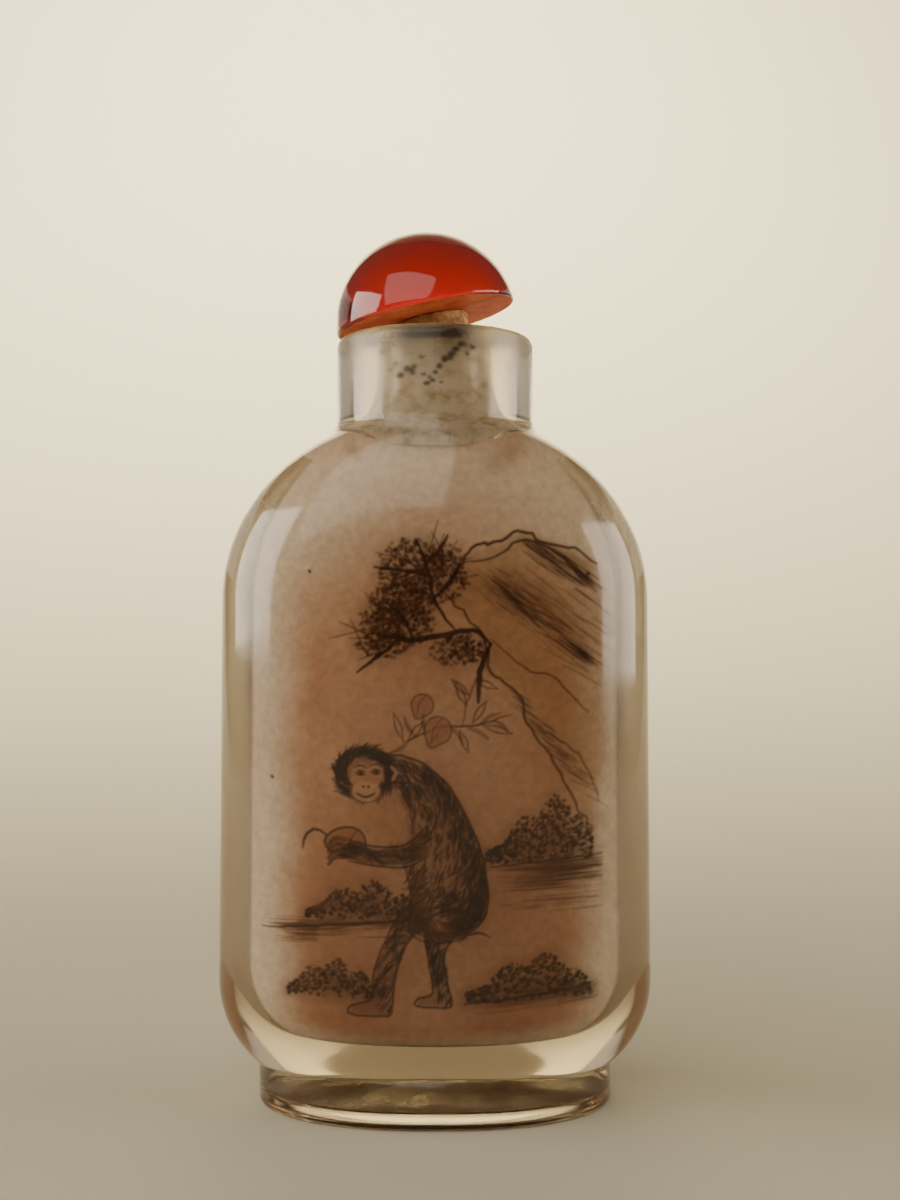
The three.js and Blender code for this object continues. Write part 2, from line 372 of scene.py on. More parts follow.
class Paint:
    """Layers of paint at the points of a film: a colour and how well it covers.

    A brush line's numbers are its width, its colour, how well it covers, the share of its width that is
    left at its ends, and the shake of the hand. A patch's are its colour, its cover and its soft edge.
    """

    def __init__(self, made, seed):
        count = len(made.data.vertices)
        place = np.empty(count * 3)
        made.data.vertices.foreach_get("co", place)
        place = place.reshape(-1, 3) / MM
        self.made, self.x, self.z = made, place[:, 0], place[:, 2]
        self.colour = np.ones((count, 3)) * np.array((0.80, 0.76, 0.66))
        self.cover = np.zeros(count)
        self.random = np.random.default_rng(seed)

    def wash(self, amount, colour):
        """Lays a colour where amount, one number a point, says."""
        amount = np.clip(amount, 0, 1)
        total = amount + self.cover * (1 - amount)
        share = np.where(total > 0, amount / np.maximum(total, 1e-6), 0)[:, None]
        self.colour = self.colour * (1 - share) + np.array(colour) * share
        self.cover = total

    def near(self, points, margin):
        """The film's points in a box around others."""
        left, foot = np.min(points, axis=0) - margin
        right, top = np.max(points, axis=0) + margin
        return np.nonzero((self.x > left) & (self.x < right) & (self.z > foot) & (self.z < top))[0]

    def lay(self, where, amount, colour):
        """Lays a colour on some of the film's points."""
        amount = np.clip(amount, 0, 1)
        total = amount + self.cover[where] * (1 - amount)
        share = (amount / np.maximum(total, 1e-6))[:, None]
        self.colour[where] = self.colour[where] * (1 - share) + np.array(colour) * share
        self.cover[where] = total

    def stroke(self, points, width, colour, strength=0.9, ends=0.35):
        """A brush line through points, thinner at its ends."""
        points = np.array(points, float)
        where = self.near(points, width + 0.3)
        if not len(where):
            return
        spot = np.stack([self.x[where], self.z[where]], 1)
        lengths = np.linalg.norm(np.diff(points, axis=0), axis=1)
        total, before = max(lengths.sum(), 1e-6), 0
        best = np.full(len(where), 1e9)
        for start, step, length in zip(points[:-1], np.diff(points, axis=0), lengths):
            along = np.clip(((spot - start) @ step) / max(length ** 2, 1e-9), 0, 1)
            away = np.linalg.norm(spot - start - along[:, None] * step, axis=1)
            share = (before + along * length) / total
            half = width / 2 * (ends + (1 - ends) * np.sin(np.pi * np.clip(share, 0.02, 0.98)) ** 0.5)
            best = np.minimum(best, away - half)
            before += length
        self.lay(where, strength * np.clip(0.5 - best / 0.14, 0, 1), colour)

    def curve(self, points, width, colour, strength=0.9, ends=0.35, shake=0.0):
        """A stroke on a smooth curve through points, with a slight shake of the hand."""
        points = np.array(points, float)
        steps = max(6, int(np.linalg.norm(np.diff(points, axis=0), axis=1).sum() / 0.5))
        at = np.linspace(0, len(points) - 1, steps)
        ends_held = np.vstack([2 * points[0] - points[1], points, 2 * points[-1] - points[-2]])
        k = np.minimum(at.astype(int), len(points) - 2)
        t = (at - k)[:, None]
        a, b, c, d = (ends_held[k + i] for i in range(4))
        smooth = 0.5 * (2 * b + (c - a) * t + (2 * a - 5 * b + 4 * c - d) * t ** 2
                        + (3 * b - a - 3 * c + d) * t ** 3)
        smooth += self.random.normal(0, 1, smooth.shape) * shake
        self.stroke(smooth, width, colour, strength, ends)

    def patch(self, outline, colour, strength, soft=0.4):
        """A filled shape with soft edges."""
        outline = np.array(outline, float)
        where = self.near(outline, soft)
        x, z = self.x[where], self.z[where]
        inside = np.zeros(len(where), bool)
        away = np.full(len(where), 1e9)
        for (x0, z0), (x1, z1) in zip(outline, np.roll(outline, -1, axis=0)):
            crosses = (z0 > z) != (z1 > z)
            inside ^= crosses & (x < (x1 - x0) * (z - z0) / ((z1 - z0) or 1e-9) + x0)
            step = np.array((x1 - x0, z1 - z0))
            t = np.clip(((x - x0) * step[0] + (z - z0) * step[1]) / max(step @ step, 1e-9), 0, 1)
            away = np.minimum(away, np.hypot(x - x0 - t * step[0], z - z0 - t * step[1]))
        away = np.where(inside, -away, away)
        self.lay(where, strength * np.clip(0.5 - away / (2 * soft), 0, 1), colour)

    def dots(self, centre, spread, count, size, colour, strength=0.85):
        """Stippled dabs, closest together in the middle of an oval."""
        for _ in range(count):
            turn, out = self.random.uniform(0, 2 * math.pi), math.sqrt(self.random.uniform(0, 1))
            x = centre[0] + spread[0] * out * math.cos(turn)
            z = centre[1] + spread[1] * out * math.sin(turn)
            slip = self.random.uniform(-0.1, 0.1, 2)
            dab = size * self.random.uniform(0.6, 1.3)
            self.stroke([(x, z), (x + slip[0], z + slip[1])], dab, colour, strength, 0.9)

    def dry(self):
        """Writes the paint to the film as a colour attribute, with its cover as alpha."""
        values = np.concatenate([self.colour, self.cover[:, None]], axis=1).astype(np.float32)
        attribute = self.made.data.attributes.new("paint", "FLOAT_COLOR", "POINT")
        attribute.data.foreach_set("color", values.ravel())
        self.made.data.update()


def paint_finish():
    """Dry paint: the film's own colours and cover, a little grainy."""
    finish = Finish("inside_paint")
    read = finish.nodes.new("ShaderNodeAttribute")
    read.attribute_name = "paint"
    tone = finish.nodes.new("ShaderNodeMix")
    tone.data_type, tone.blend_type = "RGBA", "MULTIPLY"
    tone.inputs["Factor"].default_value = 1.0
    finish.link(read.outputs["Color"], tone.inputs["A"])
    finish.link(finish.between(finish.noise(1500, 5, 0.6), 0.3, 0.7, 0.86, 1.12), tone.inputs["B"])
    finish.feed("Base Color", tone.outputs["Result"])
    finish.feed("Alpha", read.outputs["Alpha"])
    finish.feed("Roughness", finish.between(finish.noise(900, 3), 0.3, 0.7, 0.55, 0.8))
    finish.plain("Specular IOR Level", 0.0)
    finish.bump(finish.noise(3000, 3), 0.00001, 0.4)
    return finish.material


inside_paint = paint_finish()

# The paints, and the width of the finest brush line
ink = (0.035, 0.012, 0.004)
umber = (0.085, 0.028, 0.008)
sepia = (0.16, 0.065, 0.024)
ochre = (0.42, 0.20, 0.075)
wash_pink = (0.60, 0.31, 0.18)
wash_brown = (0.37, 0.155, 0.080)
haze_white = (0.97, 0.85, 0.69)
edge_shade_brown = (0.50, 0.37, 0.24)
fur_brown = (0.13, 0.042, 0.014)
bare_skin = (0.50, 0.26, 0.15)
muzzle_skin = (0.58, 0.33, 0.20)
bough_peach = (0.42, 0.17, 0.10)
held_peach = (0.36, 0.15, 0.07)
stain_brown = (0.32, 0.16, 0.07)
hair = 0.13


def smoothstep(low_edge, high_edge, value):
    """A soft step from 0 to 1 between two edges."""
    share = np.clip((value - low_edge) / (high_edge - low_edge), 0, 1)
    return share * share * (3 - 2 * share)


def ground_wall(paint, body):
    """The matt bloom of the ground wall, its clearer edge browned with painted shade, and the pink-brown wash
    inside it, browned towards the bottom with painted shade.
    """
    paint.wash(wall_haze + (full_haze - wall_haze) * smoothstep(*haze_heights, paint.z), haze_white)
    widths = np.array([inner_half_width_at(z) for z in paint.z])
    # The bloom is thinner at its outer edge, and the brown laid there is painted shade for the darker clear
    # band along the glass's sides.
    thin_shaded_edge = smoothstep(*clear_edge, np.abs(paint.x) / widths) * (paint.z < clear_edge_top)
    paint.cover *= 1 - clear_edge_thinning * thin_shaded_edge
    paint.colour += (np.array(edge_shade_brown) - paint.colour) * thin_shaded_edge[:, None]
    waver = 0.7 * np.sin(paint.z * 0.55 + 1.1) + 0.4 * np.sin(paint.z * 1.37 + paint.x * 0.3)
    sides = 1 - smoothstep(*wash_sides, np.abs(paint.x - 0.2) + 0.35 * waver)
    top = 1 - smoothstep(*wash_top, paint.z + 0.06 * paint.x ** 2 + waver * 0.7)
    bottom = smoothstep(*wash_bottom, paint.z - 0.012 * paint.x ** 2 + 0.4 * waver)
    clouds = 0.5 + 0.5 * np.sin(paint.x * 0.52 + 1.7 * np.sin(paint.z * 0.21)) * np.cos(paint.z * 0.33)
    amount = sides * bottom * (0.16 + 0.84 * top)
    paint.wash(body * amount * (0.90 + 0.10 * clouds), wash_pink)
    # Painted shade: a browner wash that deepens towards the bottom, where the light falls off, and thins
    # towards the top for light that would shine through from behind; a tenth of it, all over, is the wash's
    # own brown.
    painted_shade = 1 - smoothstep(*painted_shade_heights, paint.z)
    paint.wash(0.92 * body * amount * (0.10 + 0.90 * painted_shade) * (0.6 + 0.4 * clouds), wash_brown)


def rock(paint):
    """The ochre cliff that leans in from the upper right, its outline and its hatching."""
    draw, slip = paint.random.uniform, paint.random.normal
    top_edge = [(0.6, 42.4), (2.2, 44.6), (3.4, 45.9), (5.2, 46.3), (6.9, 47.2), (8.4, 46.2), (10.9, 45.6),
                (12.6, 44.6)]
    low_edge = [(0.6, 42.4), (2.6, 40.2), (4.1, 38.6), (4.4, 36.0), (6.6, 34.2), (7.6, 31.4), (9.6, 28.4),
                (11.0, 25.4), (12.4, 23.0)]
    slope_shade = [(3.0, 42.8), (5.6, 44.2), (8.6, 42.8), (11.6, 38.8), (11.9, 36.6), (8.4, 39.6),
                   (5.4, 41.0)]
    peak_shade = [(6.6, 46.6), (9.0, 46.2), (11.8, 44.6), (12.0, 43.0), (9.4, 44.0)]
    hatchings = [((5.6, 34.6), (11.5, 27.0), 40), ((6.8, 46.2), (11.8, 43.4), 60),
                 ((4.4, 43.2), (11.6, 37.4), 70)]
    paint.patch(top_edge + [(13.3, 40), (13.2, 30)] + low_edge[::-1], ochre, 0.48, 0.5)
    for _ in range(70):
        along = draw(0, 1)
        x = 3.2 + 8.6 * along + slip(0, 0.5)
        z = 44.9 - 7.5 * along * draw(0.1, 1.25) - draw(0, 2.2)
        length = draw(1.0, 3.2)
        lean = draw(-0.95, -0.5)
        tone = umber if draw() < 0.6 else sepia
        line = [(x, z), (x + length * 0.55, z + length * lean * 0.5), (x + length, z + length * lean)]
        paint.stroke(line, hair, tone, draw(0.25, 0.6), 0.2)
    paint.patch(slope_shade, sepia, 0.45, 0.8)
    paint.patch(peak_shade, sepia, 0.55, 0.6)
    paint.curve([(4.4, 38.6), (7.2, 36.2), (9.2, 35.6), (12.0, 32.6)], 0.18, umber, 0.75, 0.4, 0.05)
    paint.curve([(7.4, 32.2), (9.6, 30.6), (11.4, 29.0), (12.8, 25.6)], 0.18, umber, 0.7, 0.4, 0.05)
    for start, end, count in hatchings:
        for _ in range(count):
            share = draw(0, 1)
            x = start[0] + (end[0] - start[0]) * share + slip(0, 0.22)
            z = start[1] + (end[1] - start[1]) * share + slip(0, 0.42)
            length = draw(0.8, 1.9)
            paint.stroke([(x, z), (x + length, z - length * 0.72)], 0.14, ink, draw(0.3, 0.7), 0.2)
    paint.curve(top_edge, 0.24, ink, 0.9, 0.5, 0.11)
    paint.curve(low_edge, 0.24, umber, 0.85, 0.5, 0.11)
    paint.curve([(2.2, 44.6), (4.6, 45.0), (6.9, 46.4), (9.8, 45.2), (11.2, 43.6)], 0.2, ink, 0.8, 0.4, 0.04)


def pine(paint):
    """The pine that grows from the cliff: limbs, twigs and clusters of dabbed needles."""
    draw, slip = paint.random.uniform, paint.random.normal
    root = (4.4, 38.2)
    limbs = [
        [root, (3.0, 39.3), (0.6, 38.9), (-1.6, 38.6), (-4.4, 38.9)],
        [(1.6, 39.4), (0.2, 41.4), (-0.5, 44.0), (-1.3, 46.4)],
        [(0.0, 41.8), (1.4, 43.2), (2.0, 44.6)],
        [(-0.3, 43.6), (-2.4, 44.0), (-4.6, 44.2)],
        [(-1.6, 38.7), (-2.6, 40.6), (-3.6, 41.4)],
        [(-0.6, 44.6), (0.4, 45.6), (1.0, 46.8)],
        [(-2.6, 38.7), (-4.4, 37.2), (-6.0, 36.0)],
        [root, (3.6, 36.0), (3.4, 33.6)],
    ]
    clusters = [((-1.7, 44.2), (2.7, 2.4), 210), ((0.8, 43.8), (2.0, 2.4), 120),
                ((-2.4, 41.6), (2.6, 2.0), 170), ((-2.9, 39.9), (3.0, 2.0), 210),
                ((2.0, 37.7), (2.3, 1.3), 130), ((-4.0, 38.2), (2.1, 1.2), 90)]
    twig_places = [(-1.5, 44.0), (0.8, 44.0), (-3.0, 40.0), (-4.2, 38.4), (-2.2, 42.0)]
    for centre, spread, count in clusters:
        paint.patch(oval_arc(*centre, *spread, 0, 2 * math.pi, 13)[:-1], sepia, 0.42, 1.1)
        paint.dots(centre, spread, count, 0.26, umber, 0.6)
        paint.dots(centre, (spread[0] * 0.85, spread[1] * 0.85), count // 2, 0.22, ink, 0.7)
    for limb in limbs:
        paint.curve(limb, 0.46 if limb[0] == root else 0.30, ink, 0.92, 0.35, 0.04)
    for _ in range(90):
        x, z = paint.random.choice(twig_places)
        turn = draw(0.05, 1.15) * math.pi
        x += slip(0, 0.8)
        z += slip(0, 0.6)
        reach = draw(1.2, 2.8)
        tip = (x + reach * math.cos(turn), z + reach * math.sin(turn))
        paint.stroke([(x, z), tip], hair, umber, 0.7, 0.25)


def leaf(x, z, reach, turn, bulge):
    """A leaf's two sides, each from its stalk to its tip."""
    tip = (x + reach * math.cos(turn), z + reach * math.sin(turn))
    middle_x, middle_z = (x + tip[0]) / 2, (z + tip[1]) / 2
    return [[(x, z), (middle_x - swell * math.sin(turn), middle_z + swell * math.cos(turn)), tip]
            for swell in (bulge, -bulge)]


def peach_bough(paint):
    """A bough with two peaches and narrow leaves, under the pine."""
    full_leaves = [(-1.4, 30.9, 1.9, 2.1), (-0.6, 31.2, 1.6, 1.7), (1.2, 31.7, 1.8, -0.9),
                   (2.6, 31.6, 1.9, -0.5), (3.6, 31.9, 1.8, 0.5), (4.6, 32.2, 1.5, -0.7),
                   (-2.0, 30.5, 1.6, -2.6), (0.4, 31.5, 1.5, -2.2)]
    drawn_leaves = [(3.2, 35.4, 1.9, -0.4), (2.7, 34.2, 1.8, 2.4), (2.5, 33.4, 2.0, 2.0),
                    (-2.4, 30.6, 2.3, 1.9), (-2.0, 30.6, 1.9, 0.9), (3.0, 32.0, 2.0, 1.0),
                    (2.0, 31.4, 1.9, -1.2), (3.8, 31.8, 2.4, -0.3)]
    round_reach, point_reach, point_turn = 0.86, 0.34, 4.3
    paint.curve([(6.0, 32.6), (3.2, 31.8), (0.2, 31.6), (-2.4, 30.4)], 0.2, umber, 0.85, 0.3, 0.04)
    paint.curve([(2.2, 31.8), (2.6, 33.8), (3.6, 36.0)], 0.16, umber, 0.7, 0.3, 0.04)
    for place in full_leaves:
        paint.curve(leaf(*place, 0.16)[0], 0.34, umber, 0.55, 0.15)
    for place in drawn_leaves:
        for side in leaf(*place, 0.25):
            paint.curve(side, 0.14, umber, 0.8, 0.3)
    for x, z, size in ((-0.9, 33.4, 1.0), (0.3, 31.4, 1.25)):
        ring = []
        for turn in np.linspace(0, 2 * math.pi, 32):
            reach = size * (round_reach + point_reach * math.exp(-(turn - point_turn) ** 2 / 0.1))
            ring.append((x + reach * math.cos(turn), z + reach * math.sin(turn)))
        cleft = [(x + size * 0.3, z + size * 0.8), (x - size * 0.3, z), (x - size * 0.4, z - size)]
        paint.patch(ring, bough_peach, 0.7, 0.2)
        paint.stroke(ring, 0.16, umber, 0.7, 0.8)
        paint.curve(cleft, hair, umber, 0.6, 0.3)


def fur_strokes(paint, ridge, reach, count, lean, colour):
    """Short hairs that start along a ridge line and reach some way in from it, each leaning as asked."""
    draw, slip = paint.random.uniform, paint.random.normal
    ridge = np.array(ridge, float)
    for _ in range(count):
        place = draw(0, len(ridge) - 1.001)
        k = int(place)
        step = ridge[k + 1] - ridge[k]
        along = step / max(np.linalg.norm(step), 1e-6)
        spot = ridge[k] + step * (place - k) + np.array((along[1], -along[0])) * reach * draw(0, 1) ** 1.3
        turn = math.atan2(along[1], along[0]) + lean + slip(0, 0.25)
        tip = spot + draw(0.4, 1.0) * np.array((math.cos(turn), math.sin(turn)))
        paint.stroke([spot, (spot + tip) / 2 + 0.03, tip], hair, colour, draw(0.35, 0.8), 0.25)


def monkey(paint):
    """A bent old monkey that walks to the left, and holds a peach on its stalk under its chin."""
    back = [(-4.6, 29.3), (-2.6, 29.4), (-0.6, 28.6), (1.2, 26.9), (2.7, 24.2), (3.8, 21.2), (4.2, 18.6),
            (3.9, 16.6), (2.4, 15.0)]
    belly = [(2.4, 15.0), (0.2, 14.6), (-1.8, 15.4), (-1.7, 17.8), (-2.2, 20.4), (-3.4, 22.4), (-4.6, 24.0),
             (-5.4, 26.6)]
    back_shade = back[2:] + [(1.0, 16.4), (1.6, 20.0), (0.6, 24.0), (-0.8, 26.6)]
    chest = [(-3.2, 27.2), (-2.0, 25.0), (-1.8, 22.9), (-3.0, 22.3), (-5.4, 23.0), (-7.0, 24.2), (-6.8, 26.0)]
    rear_leg = [(2.6, 16.4), (0.9, 14.0), (1.0, 11.8), (1.4, 9.9), (0.9, 9.5), (-1.3, 9.6), (-1.3, 10.2),
                (-0.1, 10.7), (-0.4, 13.0), (-0.8, 15.4)]
    fore_leg = [(0.2, 17.0), (-2.1, 14.6), (-3.0, 11.8), (-3.3, 9.2), (-3.8, 8.8), (-6.5, 8.9), (-6.4, 9.6),
                (-4.9, 10.2), (-4.6, 12.6), (-3.4, 15.6), (-1.8, 18.6)]
    for limb in (rear_leg, fore_leg):
        paint.patch(limb, fur_brown, 0.50, 0.2)
        paint.curve(limb, 0.16, ink, 0.85, 0.6, 0.02)
        fur_strokes(paint, limb[:4], 0.9, 100, -0.4, ink)
        fur_strokes(paint, limb[7:], 0.9, 100, -0.4, ink)
    paint.patch(back + belly[1:], fur_brown, 0.46, 0.25)
    paint.patch(back_shade, fur_brown, 0.45, 0.8)
    fur_strokes(paint, back, 6.0, 620, -0.45, umber)
    fur_strokes(paint, back, 3.4, 620, -0.5, ink)
    fur_strokes(paint, back[2:], 1.3, 320, -0.45, ink)
    fur_strokes(paint, belly[:5], 1.4, 220, -0.6, umber)
    paint.curve(back, 0.22, ink, 0.92, 0.5, 0.04)
    paint.curve(belly[:6], 0.16, ink, 0.7, 0.5, 0.04)
    paint.curve([(2.4, 15.2), (3.6, 15.4), (4.4, 15.0)], 0.2, ink, 0.85, 0.2)
    paint.patch(chest, bare_skin, 0.82, 0.3)
    paint.curve([(-2.9, 27.4), (-1.8, 25.0), (-1.6, 22.8)], 0.14, umber, 0.7, 0.3, 0.03)
    monkey_head(paint)
    monkey_arm(paint)


def monkey_head(paint):
    """A round head of dark hair, with a bare face, a pale muzzle and one ear."""
    head = oval_arc(-5.4, 28.0, 2.25, 2.05, 0, 2 * math.pi, 24)
    muzzle = oval_arc(-5.3, 26.5, 1.15, 0.85, 0, 2 * math.pi, 19)
    face = [(-6.3, 28.5), (-5.6, 28.9), (-5.1, 28.6), (-4.6, 28.9), (-3.9, 28.5), (-3.8, 27.4), (-4.4, 26.5),
            (-6.0, 26.5), (-6.5, 27.4)]
    paint.patch(head[:-1], fur_brown, 0.62, 0.2)
    fur_strokes(paint, head[::-1], 0.9, 300, 0.2, ink)
    paint.patch(face, bare_skin, 0.82, 0.15)
    fur_strokes(paint, head[::-1], 0.8, 330, 0.34, ink)
    paint.patch(muzzle, muzzle_skin, 0.9, 0.15)
    paint.curve(muzzle[8:], 0.12, umber, 0.7, 0.5)
    paint.stroke([(-3.3, 28.5), (-2.9, 28.1), (-3.2, 27.5)], 0.3, bare_skin, 0.8, 0.6)
    for x, z in ((-5.7, 28.0), (-4.5, 28.1)):
        eye = [(x - 0.4, z), (x, z + 0.25), (x + 0.4, z), (x, z - 0.2), (x - 0.4, z)]
        paint.curve(eye, 0.12, ink, 0.85, 0.8)
        paint.stroke([(x - 0.05, z), (x + 0.05, z)], 0.3, ink, 0.95, 0.9)
        paint.curve([(x - 0.5, z + 0.45), (x, z + 0.62), (x + 0.5, z + 0.4)], 0.14, ink, 0.8, 0.3)
    for x in (-5.5, -5.1):
        paint.stroke([(x, 26.95), (x + 0.04, 26.9)], 0.2, ink, 0.9, 0.9)
    paint.curve([(-6.0, 26.4), (-5.3, 26.1), (-4.6, 26.4)], 0.2, ink, 0.9, 0.4)


def monkey_arm(paint):
    """The arm that reaches forward, its fingers round a peach."""
    peach = [(-6.9 + 1.6 * math.cos(a), 22.5 + (1.2 + 0.2 * math.cos(a)) * math.sin(a))
             for a in np.linspace(0, 2 * math.pi, 24)]
    arm = [(-0.6, 23.8), (-2.2, 22.2), (-4.4, 22.0), (-6.4, 22.5), (-7.1, 22.2), (-7.1, 21.3), (-6.2, 21.0),
           (-4.4, 20.8), (-2.2, 20.7), (-0.4, 21.6)]
    paint.patch(peach, held_peach, 0.88, 0.15)
    paint.curve(peach, 0.17, ink, 0.85, 0.9)
    paint.curve([(-6.0, 23.4), (-6.5, 22.6), (-6.3, 21.6)], 0.12, umber, 0.7, 0.3)
    paint.curve([(-8.3, 23.0), (-9.2, 23.5), (-10.0, 22.9), (-10.2, 21.9)], 0.24, ink, 0.9, 0.3)
    paint.patch(arm, fur_brown, 0.70, 0.18)
    fur_strokes(paint, arm[::-1], 0.9, 170, -0.3, ink)
    paint.curve([(-0.6, 23.8), (-2.2, 22.4), (-4.4, 22.2), (-6.6, 22.7)], 0.17, ink, 0.9, 0.4)
    paint.curve([(-0.4, 21.5), (-2.2, 20.6), (-4.6, 20.7), (-6.6, 21.0)], 0.17, ink, 0.9, 0.4)
    for k in range(4):
        for raised, reach, width, tone, strength in ((0, -8.2, 0.22, fur_brown, 0.9),
                                                     (0.2, -8.3, 0.12, ink, 0.8)):
            knuckle, bend = 22.6 + raised - 0.45 * k, 22.7 + raised - 0.5 * k
            tip = 22.1 + raised / 2 - 0.5 * k
            paint.curve([(-6.7, knuckle), (-7.7, bend), (reach, tip)], width, tone, strength, 0.4)


def bank(paint, x0, z0, width, height, count, skew):
    """A mound of bushes, dabbed dark over a soft shade, highest to the right of its middle."""
    draw = paint.random.uniform

    def roof(t):
        swell = math.sin(math.pi * (0.02 + 0.96 * t ** skew)) ** 0.6
        return height * swell * (0.72 + 0.28 * abs(math.sin(9.5 * t + 2 * x0)))

    outline = [(x0 + width * t, z0 + roof(t)) for t in np.linspace(0, 1, 26)]
    outline = [(x0, z0), *outline, (x0 + width, z0)]
    paint.patch(outline, sepia, 0.50, 0.9)
    paint.patch([(x, z0 + (z - z0) * 0.6) for x, z in outline], umber, 0.45, 0.8)
    for _ in range(count):
        t = draw(0.01, 0.99)
        rise = draw(0.0, 1.0) ** 0.8
        x, z = x0 + width * t, z0 + roof(t) * rise
        tone = ink if draw() < 0.45 + 0.4 * (1 - rise) else umber
        slip = draw(-0.09, 0.09, 2)
        paint.stroke([(x, z), (x + slip[0], z + slip[1])], draw(0.12, 0.28), tone, 0.78, 0.9)


def ground(paint):
    """The bushes and the brushed ground lines under them."""
    draw, slip = paint.random.uniform, paint.random.normal
    bands = [(-13.0, -1.6, 15.5, 0.08, 90), (4.6, 13.0, 20.3, 0.03, 90), (4.6, 13.0, 19.3, 0.03, 90),
             (4.8, 13.0, 17.6, 0.02, 26), (2.6, 12.6, 9.8, 0.07, 46), (-12.4, -9.0, 15.0, 0.05, 40)]
    bank(paint, 4.0, 20.9, 8.4, 5.3, 620, 1.7)
    bank(paint, -10.0, 16.4, 8.8, 3.1, 440, 1.3)
    bank(paint, -11.4, 10.2, 6.8, 3.1, 320, 1.2)
    bank(paint, 2.4, 9.9, 9.8, 3.8, 560, 1.4)
    for x0, x1, z0, slope, count in bands:
        for _ in range(count):
            start = draw(x0, x1 - 1.2)
            length = min(draw(1.0, 5.0), x1 - start)
            z = z0 + slope * (start - x0) + slip(0, 0.42)
            tone = umber if draw() < 0.7 else sepia
            line = [(start, z), (start + length * 0.5, z + 0.06), (start + length, z + slope * length)]
            paint.stroke(line, hair, tone, draw(0.15, 0.5), 0.2)
    paint.curve([(-13.2, 15.3), (-9.5, 15.7), (-5.0, 16.2), (-1.6, 16.4)], 0.24, ink, 0.85, 0.4, 0.04)
    paint.curve([(4.4, 20.6), (8.4, 20.9), (13.0, 21.2)], 0.22, ink, 0.75, 0.4, 0.04)
    paint.curve([(2.4, 9.8), (7.0, 10.2), (12.2, 10.9)], 0.24, ink, 0.8, 0.4, 0.04)


def stains(paint):
    """Old snuff stains at the roof of the hollow and at one side, and specks."""
    spots = [(5.6, 52.9, 1.7, 0.5), (4.4, 52.2, 1.2, 0.35), (-6.0, 53.0, 0.9, 0.55), (12.9, 24.0, 1.1, 0.25)]
    for x, z, reach, strength in spots:
        away = np.hypot(paint.x - x, (paint.z - z) * 1.2)
        paint.wash(strength * np.clip(1 - away / reach, 0, 1), stain_brown)
    for x, z in ((-9.7, 44.0), (11.9, 43.8), (-12.6, 27.5)):
        paint.stroke([(x, z), (x + 0.06, z - 0.1)], 0.24, ink, 0.9, 0.9)


for name, foot, top in (("front_painting_foot", film_foot, film_seam),
                        ("front_painting_top", film_seam, film_top)):
    sheet = piece(name, film(-1, foot, top, front_columns, front_rows), inside_paint)
    front = Paint(sheet, front_seed)
    ground_wall(front, front_body)
    rock(front)
    pine(front)
    peach_bough(front)
    ground(front)
    monkey(front)
    stains(front)
    front.dry()

sheet = piece("back_painting", film(1, film_foot, film_top, back_columns, back_rows), inside_paint)
back = Paint(sheet, back_seed)
ground_wall(back, back_body)
ground(back)
back.dry()


# Grime and painted shade in the foot
# A thin brown film in the recess under the foot: partly old snuff and dust that crept in and dried there,
# partly painted shade that darkens the foot.
# It is a disc in the skin of the glass.
recess_film_half_width = foot_half_width - foot_ring - recess_slope
recess_film_half_depth = foot_half_depth - foot_ring - recess_slope


def foot_grime_and_shade():
    """A disc in the skin of the glass over the recess, pressed into the foot's oval."""
    mesh = bmesh.new()
    bmesh.ops.create_circle(mesh, cap_ends=True, cap_tris=True, segments=96, radius=recess_film_half_width * MM)
    bmesh.ops.subdivide_edges(mesh, edges=mesh.edges[:], cuts=2, use_grid_fill=True)
    for vert in mesh.verts:
        width = math.hypot(vert.co.x, vert.co.y)
        depth = width * recess_film_half_depth / recess_film_half_width
        x, y = press_ring(vert.co.x, vert.co.y, width, depth, section_power)
        vert.co = (x, y, (recess_depth + film_depth) * MM)
    return mesh


def grime_and_shade():
    """Brown dirt and painted shade in clouds, matt."""
    finish = Finish("foot_grime_and_shade")
    # The brown darkens the foot as painted shade as well as dirt.
    finish.plain("Base Color", (0.34, 0.23, 0.15, 1))
    finish.plain("Roughness", 0.8)
    finish.plain("Specular IOR Level", 0.0)
    finish.feed("Alpha", finish.between(finish.noise(300, 5, 0.6), 0.35, 0.65, 0.50, 0.86))
    return finish.material


recess_film = piece("foot_grime_and_shade", foot_grime_and_shade(), grime_and_shade())


# Dirt in the neck
# Old snuff and cork dust: dark grains that cling to the bore in a ring under the plug, and a pale bloom
# on its wall. The bore shows them larger than they are, as a lens does.
grain_spots = [
    (-65, 66), (-38, 49), (-50, 36), (-32, 36), (-13, 30), (-2, 24), (-9, 20), (1, 32), (-15, 47),
    (12, 45), (18, 46), (25, 55), (38, 51), (28, 70), (-19, 0), (49, 14), (-44, 42), (-26, 33),
    (6, 38), (33, 60), (-57, 55), (20, 50), (-6, 27), (44, 58), (-24, 38), (-40, 30), (8, 22),
]
dots_per_mm, bore_zoom, grain_foot = 12.1, 1.5, 57.57
grain_seat, grain_sizes, grain_flatness, grain_seed = 0.10, (0.15, 0.34), 0.25, 5
lining_foot, lining_top = 53.8, rim_height - 0.8


